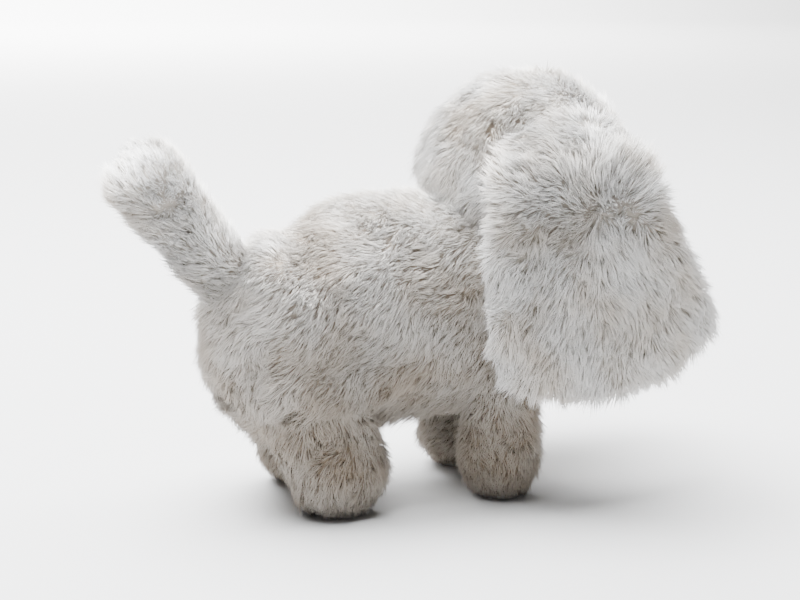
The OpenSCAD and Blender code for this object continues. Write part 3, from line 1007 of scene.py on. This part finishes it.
@dataclass
class Head(SoftPart):
    """The plush head with its muzzle, seen from its middle as one radial surface.

    Attributes:
        inset: How far the skin lies under the frame's soft solid.
        cranium: Half sizes of the round part.
        muzzle: Half sizes of the muzzle.
    """

    seed: int = 31
    fill: float = 0.75
    inset: float = 3.0 * MM
    cranium: Triple = (0.054, 0.053, 0.051)
    muzzle: Triple = (0.031, 0.027, 0.021)

    def middle(self) -> Array:
        """Middle of the head, from its frame node's box."""
        low, high = corners("head_plush")
        return np.array([low[0] + self.cranium[0], 0.0, high[2] - self.cranium[2]])

    def muzzle_middle(self) -> Array:
        """Middle of the muzzle, ahead of and below the head's middle."""
        return self.middle() + np.array([0.037, 0.0, -0.030])

    def depth(self, points: Array) -> Array:
        """Distance from the head's middle as a share of the cranium's half sizes."""
        return np.linalg.norm((points - self.middle()) / (np.array(self.cranium) - self.inset), axis=1)

    def skin(self) -> Skin:
        """The head skin: along each direction, the farther of cranium, muzzle and cheeks.

        The distances are joined by a power mean of high order, which rounds the valley
        between them. Below the mouth line the front is flat, as the roof of the mouth.

        Returns:
            The closed skin.
        """
        rows, cols = 120, 128
        polar = np.linspace(0.0, math.pi, rows)
        turn = turns(cols)
        way = np.stack(
            [
                np.sin(polar)[:, None] * np.cos(turn),
                np.sin(polar)[:, None] * np.sin(turn),
                np.cos(polar)[:, None] * np.ones(cols),
            ],
            -1,
        ).reshape(-1, 3)
        middle = self.middle()
        less = np.full(3, self.inset)
        shapes = [(middle, np.array(self.cranium) - less)]
        shapes.append((self.muzzle_middle(), np.array(self.muzzle) - less * 0.6))
        for side in Side:
            cheek = middle + np.array([0.022, side.value * 0.022, -0.020])
            shapes.append((cheek, np.array([0.028, 0.026, 0.024])))
        order = 14.0
        total = sum(ellipsoid_reach(middle, way, c, r) ** order for c, r in shapes)
        points = middle + way * (total ** (1 / order))[:, None]
        mouth = joint_at("mouth")
        front = smoothstep(mouth[0] - 4 * MM, mouth[0] - 1 * MM, points[:, 0])
        roof = mouth[2] + 1.2 * MM
        points[:, 2] += (np.maximum(points[:, 2], roof) - points[:, 2]) * front
        return Skin(squeeze_poles(points.reshape(rows, cols, 3)))

    def flow(self, root: Array, normal: Array) -> Array:
        """Combed away from the bridge of the nose, and down at the back and sides."""
        bridge = self.muzzle_middle() + np.array([0.012, 0.0, 0.022])
        out = root - bridge
        away = np.linalg.norm(out, axis=1, keepdims=True)
        out = unit(out) * smoothstep(0.0, 0.018, away)
        out[:, 2] -= 0.45 * away[:, 0] / 0.04
        return out

    def eyes(self) -> Array:
        """Middles of the two eyes.

        Returns:
            Two rows.
        """
        return np.array([sum(corners(f"eye_{side.word}")) / 2 for side in Side])

    def beyond(self, root: Array, points: Array, low: float, high: float) -> Array:
        """0 within low of any of the points, rising to 1 beyond high."""
        gaps = np.min(np.linalg.norm(root[:, None] - points[None], axis=2), axis=1)
        return smoothstep(low, high, gaps)

    def nose(self) -> Array:
        """Middle of the nose, as a row."""
        return sum(corners("nose"))[None] / 2

    def keep(self, root: Array, normal: Array) -> Array:
        """No pile over the eyes, the nose, the roof of the mouth or inside the body."""
        mouth = joint_at("mouth")
        clear = self.beyond(root, self.eyes(), 6.5 * MM, 8 * MM)
        clear = clear * self.beyond(root, self.nose(), 6 * MM, 8 * MM)
        roof = (root[:, 0] > mouth[0] - 2 * MM) & (root[:, 2] < mouth[2] + 2.5 * MM)
        hidden = self.neighbour.depth(root) < 0.82
        return clear * ~roof * ~hidden

    def scale(self, root: Array, normal: Array) -> Array:
        """Short round the eyes and on the muzzle, long on the crown."""
        reach = np.linalg.norm((root - self.muzzle_middle()) / np.array(self.muzzle), axis=1)
        muzzle = 1 - smoothstep(0.6, 1.25, reach)
        around = 0.35 + 0.65 * self.beyond(root, self.eyes(), 8 * MM, 20 * MM)
        return (1 - 0.5 * muzzle) * around * (0.45 + 0.55 * self.beyond(root, self.nose(), 8 * MM, 16 * MM))

    def build(self) -> None:
        """Builds the head and its pile."""
        self.dress("head", "head", "head_plush")


@dataclass
class Ear(SoftPart):
    """A long hanging ear: a thick pad whose outline is a smooth closed curve.

    Attributes:
        side: Which ear it is.
        half_thick: Half its thickness.
        edge_inset: How far the skin's outline lies inside the frame node's.
        dimple: Depth of the hollow.
        back_trim: Share by which its upper back edge is drawn forwards.
        outline: Shares of the ear's box, forward and upward.
    """

    pile: Pile = Pile(length=9.5 * MM)
    fill: float = 0.45
    slot: str = "ear_plush"
    side: Side = Side.LEFT
    half_thick: float = 5.6 * MM
    edge_inset: float = 2.5 * MM
    dimple: float = 3.0 * MM
    back_trim: float = 0.0
    outline: tuple[tuple[float, float], ...] = (
        (0.00, 0.64), (0.00, 0.36), (0.09, 0.07), (0.47, 0.00), (0.76, 0.04), (1.01, 0.22),
        (0.93, 0.42), (0.79, 0.66), (0.67, 0.89), (0.53, 0.985), (0.28, 0.985), (0.06, 0.88),
    )

    def ring(self, angle: Array) -> Array:
        """Points of the outline, pulled in by the inset, by angle round it.

        The curve passes smoothly through the outline's points, with period one turn.

        Args:
            angle: Angles from 0 to one turn.

        Returns:
            Forward and upward places in metres.
        """
        low, high = corners(f"ear_{self.side.word}")
        shares = np.array(self.outline)
        upper = smoothstep(0.3, 0.6, shares[:, 1])
        shares[:, 0] += self.back_trim * upper * (1.0 - shares[:, 0])
        count = len(shares)
        wrapped = np.vstack([shares[-3:], shares, shares[:3]])
        knots = np.arange(-3, count + 3, dtype=float)
        at = angle / (TURN) * count
        x = low[0] + hermite(knots, wrapped[:, 0], at) * (high[0] - low[0])
        z = low[2] + hermite(knots, wrapped[:, 1], at) * (high[2] - low[2])
        centre = np.array([x.mean(), z.mean()])
        ring = np.stack([x, z], -1)
        return ring - unit(ring - centre) * self.edge_inset

    def sheet_y(self, z: Array) -> Array:
        """How far out the middle of the pad lies: it leaves the head's side and then hangs.

        Args:
            z: Heights in metres.

        Returns:
            Distances from the middle plane, on a smooth curve through a few heights.
        """
        heights = np.array([0.040, 0.100, 0.140, 0.160, 0.172, 0.184, 0.200])
        spread = np.array([0.0595, 0.0600, 0.0600, 0.0590, 0.0560, 0.0515, 0.0440])
        return hermite(heights, spread, z)

    def skin(self) -> Skin:
        """The ear's skin: two faces that meet in a round edge.

        A row is a distance from the middle of the outer face, over the edge, to the middle of
        the inner face. The half thickness falls off as the square root of 1 - r⁸ at share r
        of the way to the outline and is a third more near it, which gives a full rounded rim.
        A shallow dimple on both faces makes the hollow that the pile spreads from.

        Returns:
            The closed skin.
        """
        rows, cols = 71, 128
        way = np.linspace(0.0, 2.0, rows)
        share = np.sin(np.minimum(way, 2 - way) * math.pi / 2)
        face = np.where(way <= 1.0, 1.0, -1.0)
        turn = turns(cols)
        ring = self.ring(turn)
        centre = ring.mean(0)
        flat = centre + (ring[None] - centre) * share[:, None, None]
        rim = 1.0 + 0.35 * smoothstep(0.45, 0.8, share)
        thick = self.half_thick * rim * (1 - share**8) ** 0.5
        hollow = self.whorl()[[0, 2]] - flat
        dimple = self.dimple * (1 - smoothstep(0.0, 0.034, np.linalg.norm(hollow, axis=-1)))
        out = (thick[:, None] - dimple) * face[:, None]
        y = self.sheet_y(flat[..., 1]) + out
        points = np.stack([flat[..., 0], y * self.side.value, flat[..., 1]], -1)
        return Skin(squeeze_poles(points))

    def whorl(self) -> Array:
        """The hollow above the ear's middle that the pile spreads from."""
        low, high = corners(f"ear_{self.side.word}")
        return np.array([low[0] * 0.45 + high[0] * 0.55, 0.0, low[2] * 0.35 + high[2] * 0.65])

    def flow(self, root: Array, normal: Array) -> Array:
        """Nearly upright in the hollow, and combed outwards and down further from it."""
        out = root - self.whorl()
        out[:, 1] = 0.0
        away = np.linalg.norm(out, axis=1, keepdims=True)
        out = unit(out) * smoothstep(0.0, 0.030, away)
        out[:, 2] -= 0.3
        return out

    def keep(self, root: Array, normal: Array) -> Array:
        """Sparser on the inner face."""
        return 1.0 - 0.4 * smoothstep(0.1, -0.6, normal[:, 1] * self.side.value)

    def scale(self, root: Array, normal: Array) -> Array:
        """Short on the inner face."""
        inner = smoothstep(0.1, -0.6, normal[:, 1] * self.side.value)
        return 1.0 - 0.68 * inner

    def build(self) -> None:
        """Builds the ear and its pile."""
        name = f"ear_{self.side.word}"
        self.dress(name, name, name)


@dataclass
class Tail(SoftPart):
    """The tail: a tube that leans back and widens to a blunt brush.

    Attributes:
        lean: Its turn back from upright, in radians.
        length: Its length from the pivot to the middle of its end.
        inset: How far the skin lies under the tips of the pile.
    """

    seed: int = 61
    pile: Pile = Pile(length=8.0 * MM)
    fill: float = 0.6
    lean: float = math.radians(38)
    length: float = 0.077
    inset: float = 2.0 * MM

    def axes(self) -> Array:
        """The tail's axis and two cross directions."""
        along = np.array([-math.sin(self.lean), 0.0, math.cos(self.lean)])
        across = np.array([0.0, 1.0, 0.0])
        return np.array([along, across, np.cross(along, across)])

    def skin(self) -> Skin:
        """The tail's skin: round sections along its axis, narrow at the root and full at the tip.

        Returns:
            The closed skin.
        """
        along = self.axes()[0]
        pivot = joint_at("tail_wag")
        plan = (
            (0.0, 14.0, 15.0), (0.30, 16.0, 16.0), (0.62, 16.5, 16.5), (0.86, 19.0, 18.0), (1.0, 20.0, 19.0)
        )
        stations = []
        for share, wide, deep in plan:
            radii = np.array([12.0 * MM, wide * MM - self.inset, deep * MM - self.inset])
            stations.append((pivot + along * self.length * share, radii))
        return capsule(stations, self.axes(), 72, 60)

    def flow(self, root: Array, normal: Array) -> Array:
        """Combed towards the tip."""
        return np.tile(self.axes()[0], (len(root), 1)) + 0.2 * normal

    def keep(self, root: Array, normal: Array) -> Array:
        """No pile inside the body."""
        return self.neighbour.depth(root) > 0.9

    def build(self) -> None:
        """Builds the tail and its pile."""
        self.dress("tail", "tail", "tail_plush")


@dataclass
class Leg(SoftPart):
    """One leg: a stuffed sleeve from the hip to a round foot with a flat sole.

    Attributes:
        end: Front or rear.
        side: Left or right.
        inset: How far the skin lies under the tips of the pile.
        sole: Height of the flat under the foot.
        clear: How far the leg's inner side keeps from the middle plane above its foot.
        ankle: Height where that begins.
    """

    pile: Pile = Pile(length=7.5 * MM)
    end: End = End.FRONT
    side: Side = Side.LEFT
    inset: float = 3.5 * MM
    sole: float = 3.0 * MM
    clear: float = 0.0185
    ankle: float = 0.034

    @property
    def stem(self) -> str:
        """The leg's name in the frame."""
        return f"{self.end.value}_{self.side.word}"

    def skin(self) -> Skin:
        """The leg's skin: upright ellipse sections from hip to foot, flat under the foot.

        Above the foot the inner side is held off the middle plane, clear of the battery box.

        Returns:
            The closed skin.
        """
        foot = sum(corners(f"{self.stem}_sole")) / 2
        hip = joint_at(f"hip_{self.stem}")
        out = self.side.value
        if self.end is End.FRONT:
            plan = (
                ((hip[0], out * 0.029, 0.064), (14.0, 19.0, 15.0)),
                ((foot[0] - 0.001, out * 0.030, 0.042), (14.0, 20.0, 17.5)),
                ((foot[0] - 0.001, foot[1], 0.0215), (27.0, 22.5, 19.5)),
            )
        else:
            plan = (
                ((hip[0] + 0.003, out * 0.026, 0.062), (17.5, 27.0, 16.0)),
                ((hip[0] + 0.0045, out * 0.0275, 0.044), (17.5, 30.0, 16.5)),
                ((foot[0] - 0.002, foot[1], 0.0225), (28.0, 27.0, 20.0)),
            )
        stations = [(np.array(middle), np.array(r) * MM - self.inset) for middle, r in plan]
        made = capsule(stations, DOWN_AXES, 60, 72)
        points = made.points
        points[..., 2] = np.maximum(points[..., 2], self.sole)
        higher = 0.003 * (points[..., 2] > self.ankle + 0.022)
        inner = np.where(points[..., 2] > self.ankle, self.clear, 0.0) + higher
        points[..., 1] = out * np.maximum(points[..., 1] * out, inner)
        return made

    def flow(self, root: Array, normal: Array) -> Array:
        """Combed down the leg and over the edge of the sole."""
        return normal * 0.3 + np.array([-0.15, 0.0, -1.0])

    def keep(self, root: Array, normal: Array) -> Array:
        """No pile inside the body, against the frame or under the foot."""
        bare = 0.054 if self.end is End.FRONT else 0.030
        clear = (np.abs(root[:, 1]) > 0.0225) | (root[:, 2] < bare)
        open_air = self.neighbour.depth(root) > 0.85
        return clear & open_air & ((normal[:, 2] > -0.97) | (root[:, 2] > 0.012))

    def scale(self, root: Array, normal: Array) -> Array:
        """Shorter low down, where the foot meets the floor."""
        return 0.8 + 0.2 * smoothstep(0.004, 0.03, root[:, 2])

    def build(self) -> None:
        """Builds the leg and its pile."""
        self.dress(f"leg_{self.stem}", f"leg_{self.stem}", f"{self.stem}_plush")


@dataclass
class Jaw(SoftPart):
    """The lower jaw: a small plush chin with a flat top under the tongue."""

    seed: int = 91
    pile: Pile = Pile(length=6.0 * MM, density=2.2, sway=1.4 * MM)
    fill: float = 0.6

    def skin(self) -> Skin:
        """The chin's skin: half an ellipsoid, flat on top and at the back.

        Returns:
            The closed skin.
        """
        low, high = corners("jaw_plush")
        middle = np.array([high[0] - 0.024, 0.0, low[2] + 0.011])
        radii = np.array([21.0, 17.0, 8.5]) * MM
        made = capsule([(middle, radii[[2, 0, 1]]), (middle, radii[[2, 0, 1]])], DOWN_AXES, 48, 60)
        points = made.points
        points[..., 2] = np.minimum(points[..., 2], high[2])
        points[..., 0] = np.maximum(points[..., 0], low[0])
        return made

    def flow(self, root: Array, normal: Array) -> Array:
        """Combed back and down from the chin."""
        return np.tile([-0.6, 0.0, -0.5], (len(root), 1)) + 0.4 * normal

    def keep(self, root: Array, normal: Array) -> Array:
        """No pile on the flat top or back."""
        low, high = corners("jaw_plush")
        return (root[:, 2] < high[2] - 0.6 * MM) & (root[:, 0] > low[0] + 1 * MM)

    def build(self) -> None:
        """Builds the chin and its pile."""
        self.dress("jaw", "jaw", "jaw_plush")


@dataclass
class Face:
    """The moulded nose and the felt rims of the eyes.

    Attributes:
        wardrobe: The finishes.
        head: Tells where the eyes are.
        ring: Radius of an eye's rim.
        tube: Half thickness of the rim.
        proud: How far the rim stands in front of the eye's middle.
    """

    wardrobe: Wardrobe
    head: Head
    ring: float = 6.7 * MM
    tube: float = 0.9 * MM
    proud: float = 2.4 * MM

    def nose(self) -> None:
        """A moulded nose: a ball, wider than it is high, with two nostrils and a groove.

        Along each direction the reach is 1, pinched towards the lower end, less a dent of a
        Gaussian shape at each nostril and a narrow one down the middle.
        """
        low, high = corners("nose")
        rows, cols = 49, 64
        polar = np.linspace(0.0, math.pi, rows)[:, None]
        turn = turns(cols)[None]
        x, y = np.cos(polar) * np.ones_like(turn), np.sin(polar) * np.cos(turn)
        z = np.sin(polar) * np.sin(turn)
        reach = np.ones_like(x)
        for side in Side:
            reach -= 0.30 * np.exp(-((y - side.value * 0.42) ** 2 + (z + 0.22) ** 2) / 0.018) * (x > 0)
        reach -= 0.10 * np.exp(-(y**2) / 0.004) * (x > 0) * smoothstep(0.1, -0.4, z)
        wide = 1.12 + 0.16 * z
        size = (high - low) / 2
        points = (low + high) / 2 + np.stack([x * reach, y * wide * reach, z * 0.92 * reach], -1) * size
        piece = Skin(squeeze_poles(points)).build("nose_moulded", self.wardrobe.slots["nose_plastic"])
        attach(piece, "head")
        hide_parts("nose")

    def rims(self) -> None:
        """A felt ring round each eye: a fat tube on a circle that faces out of the head."""
        middle = self.head.middle()
        for side, eye in zip(Side, self.head.eyes()):
            out = unit((eye - middle) * np.array([1.0, 0.8, 0.6]))
            across = unit(np.cross(out, [0.0, 0.0, 1.0]))
            up = np.cross(across, out)
            around, across_tube = np.meshgrid(turns(48), turns(12), indexing="ij")
            spoke = np.cos(around)[..., None] * across + np.sin(around)[..., None] * up
            radius = self.ring + self.tube * np.cos(across_tube)
            rise = self.proud + self.tube * np.sin(across_tube)
            points = eye + spoke * radius[..., None] + out * rise[..., None]
            index = np.arange(around.size).reshape(around.shape)
            ahead = np.roll(index, -1, 0)
            quads = np.stack([index, ahead, np.roll(ahead, -1, 1), np.roll(index, -1, 1)], -1)
            piece = mesh_piece(
                f"eye_rim_{side.word}", points.reshape(-1, 3), quads.reshape(-1, 4), self.wardrobe.rim
            )
            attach(piece, "head")

    def build(self) -> None:
        """Builds the nose and the rims."""
        self.nose()
        self.rims()
        LOG.info("nose and eye rims on head")


# ---------------------------------------------------------------- frame nodes


@dataclass
class Works:
    """The moulded, metal and electric nodes of the frame, which keep their shapes."""

    wardrobe: Wardrobe

    def dress(self) -> None:
        """Gives each shown frame node the finish of its slot in the record."""
        for part in frame["record"]["subparts"]:
            finish = self.wardrobe.slots.get(part["material_slot"])
            node = frame["nodes"].get(part["node"])
            if finish is None or node is None:
                continue
            for slot in node.material_slots:
                slot.material = finish
        LOG.info("frame nodes dressed")


# ---------------------------------------------------------------- studio


@dataclass
class Studio:
    """A pale dished floor, soft lamps and the camera.

    Attributes:
        azimuth: Camera's turn round the puppy in degrees, 0 from its right side.
        elevation: Camera's height in degrees.
        distance: Camera's distance in metres.
        lens: Focal length in millimetres on a 36 mm sensor.
        aim: The point that the camera looks at.
        floor_radius: How far the floor reaches.
        floor_flat: How far it stays flat.
        floor_grey: Its colour.
    """

    azimuth: float = -20.0
    elevation: float = 12.0
    distance: float = 0.85
    lens: float = 75.35
    aim: Triple = (0.0014, -0.0005, 0.0986)
    floor_radius: float = 9.0
    floor_flat: float = 5.5
    floor_grey: float = 0.48

    def floor(self) -> None:
        """A wide round floor that bends up smoothly at its far rim."""
        material, shader = new_material("studio_floor")
        shader.inputs["Base Color"].default_value = (*[self.floor_grey] * 3, 1.0)
        shader.inputs["Roughness"].default_value = 0.9
        rows, cols = 48, 72
        out = np.linspace(0.0, self.floor_radius, rows)[:, None]
        turn = turns(cols)[None]
        rise = 0.35 * np.maximum(out - self.floor_flat, 0.0) ** 2
        points = np.stack([out * np.cos(turn), out * np.sin(turn), rise + 0 * turn], -1).reshape(-1, 3)
        index = np.arange(rows * cols).reshape(rows, cols)
        beside = np.roll(index, -1, 1)
        quads = np.stack([index[:-1], index[1:], beside[1:], beside[:-1]], -1).reshape(-1, 4)
        mesh_piece("floor", points, quads, material)

    def lamp(
        self,
        name: str,
        at: Triple,
        aim: Triple,
        size: float,
        power: float,
        colour: Colour,
    ) -> None:
        """A square soft lamp.

        Args:
            name: The lamp's name.
            at: Its place in metres.
            aim: The point that it faces.
            size: Its side in metres.
            power: Its power in watts.
            colour: Its colour.
        """
        light = bpy.data.lights.new(name, "AREA")
        light.size, light.energy, light.color = size, power, colour
        lamp = bpy.data.objects.new(name, light)
        lamp.location = at
        lamp.rotation_euler = (Vector(aim) - Vector(at)).to_track_quat("-Z", "Y").to_euler()
        bpy.context.scene.collection.objects.link(lamp)

    def camera(self) -> None:
        """Places the camera at the viewing angle."""
        turn, rise = math.radians(self.azimuth), math.radians(self.elevation)
        back = Vector(
            (math.sin(turn) * math.cos(rise), -math.cos(turn) * math.cos(rise), math.sin(rise))
        )
        data = bpy.data.cameras.new("camera")
        data.lens = self.lens
        data.sensor_width = 36.0
        data.clip_start = 0.01
        camera = bpy.data.objects.new("camera", data)
        camera.location = Vector(self.aim) + back * self.distance
        camera.rotation_euler = back.to_track_quat("Z", "Y").to_euler()
        bpy.context.scene.collection.objects.link(camera)
        bpy.context.scene.camera = camera

    def build(self) -> None:
        """Sets up the whole studio."""
        self.camera()
        self.floor()
        self.lamp("sky", (-0.1, 0.5, 2.2), (0.0, 0.1, 0.1), 2.2, 430.0, (0.975, 0.985, 1.0))
        self.lamp("key", (-0.4, 0.3, 1.2), (0.0, 0.0, 0.1), 0.7, 54.0, (0.98, 0.99, 1.0))
        self.lamp("wash", (0.0, 5.0, 2.4), (0.0, 5.4, 0.0), 3.5, 2000.0, (1.0, 1.0, 1.0))
        world = bpy.data.worlds.new("world")
        world.use_nodes = True
        sky = world.node_tree.nodes["Background"].inputs
        sky["Color"].default_value, sky["Strength"].default_value = (1.0, 0.955, 0.90, 1.0), 0.1
        bpy.context.scene.world = world
        LOG.info("studio set up")


def main() -> None:
    """Builds every part in order."""
    logging.basicConfig(level=logging.INFO, format="%(message)s")
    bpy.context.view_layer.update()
    Studio().build()
    wardrobe = Wardrobe()
    Works(wardrobe).dress()
    torso = Torso(wardrobe)
    head = Head(wardrobe, neighbour=torso)
    torso.neighbour = head
    torso.build()
    head.build()
    Jaw(wardrobe).build()
    Face(wardrobe, head).build()
    for number, side in enumerate(Side):
        trim = 0.10 if side is Side.LEFT else 0.0
        Ear(wardrobe, seed=40 + number * 5, side=side, back_trim=trim).build()
    Tail(wardrobe, neighbour=torso).build()
    for number, (end, side) in enumerate((e, s) for e in End for s in Side):
        Leg(wardrobe, seed=70 + number * 5, neighbour=torso, end=end, side=side).build()


if __name__ == "__main__":
    main()
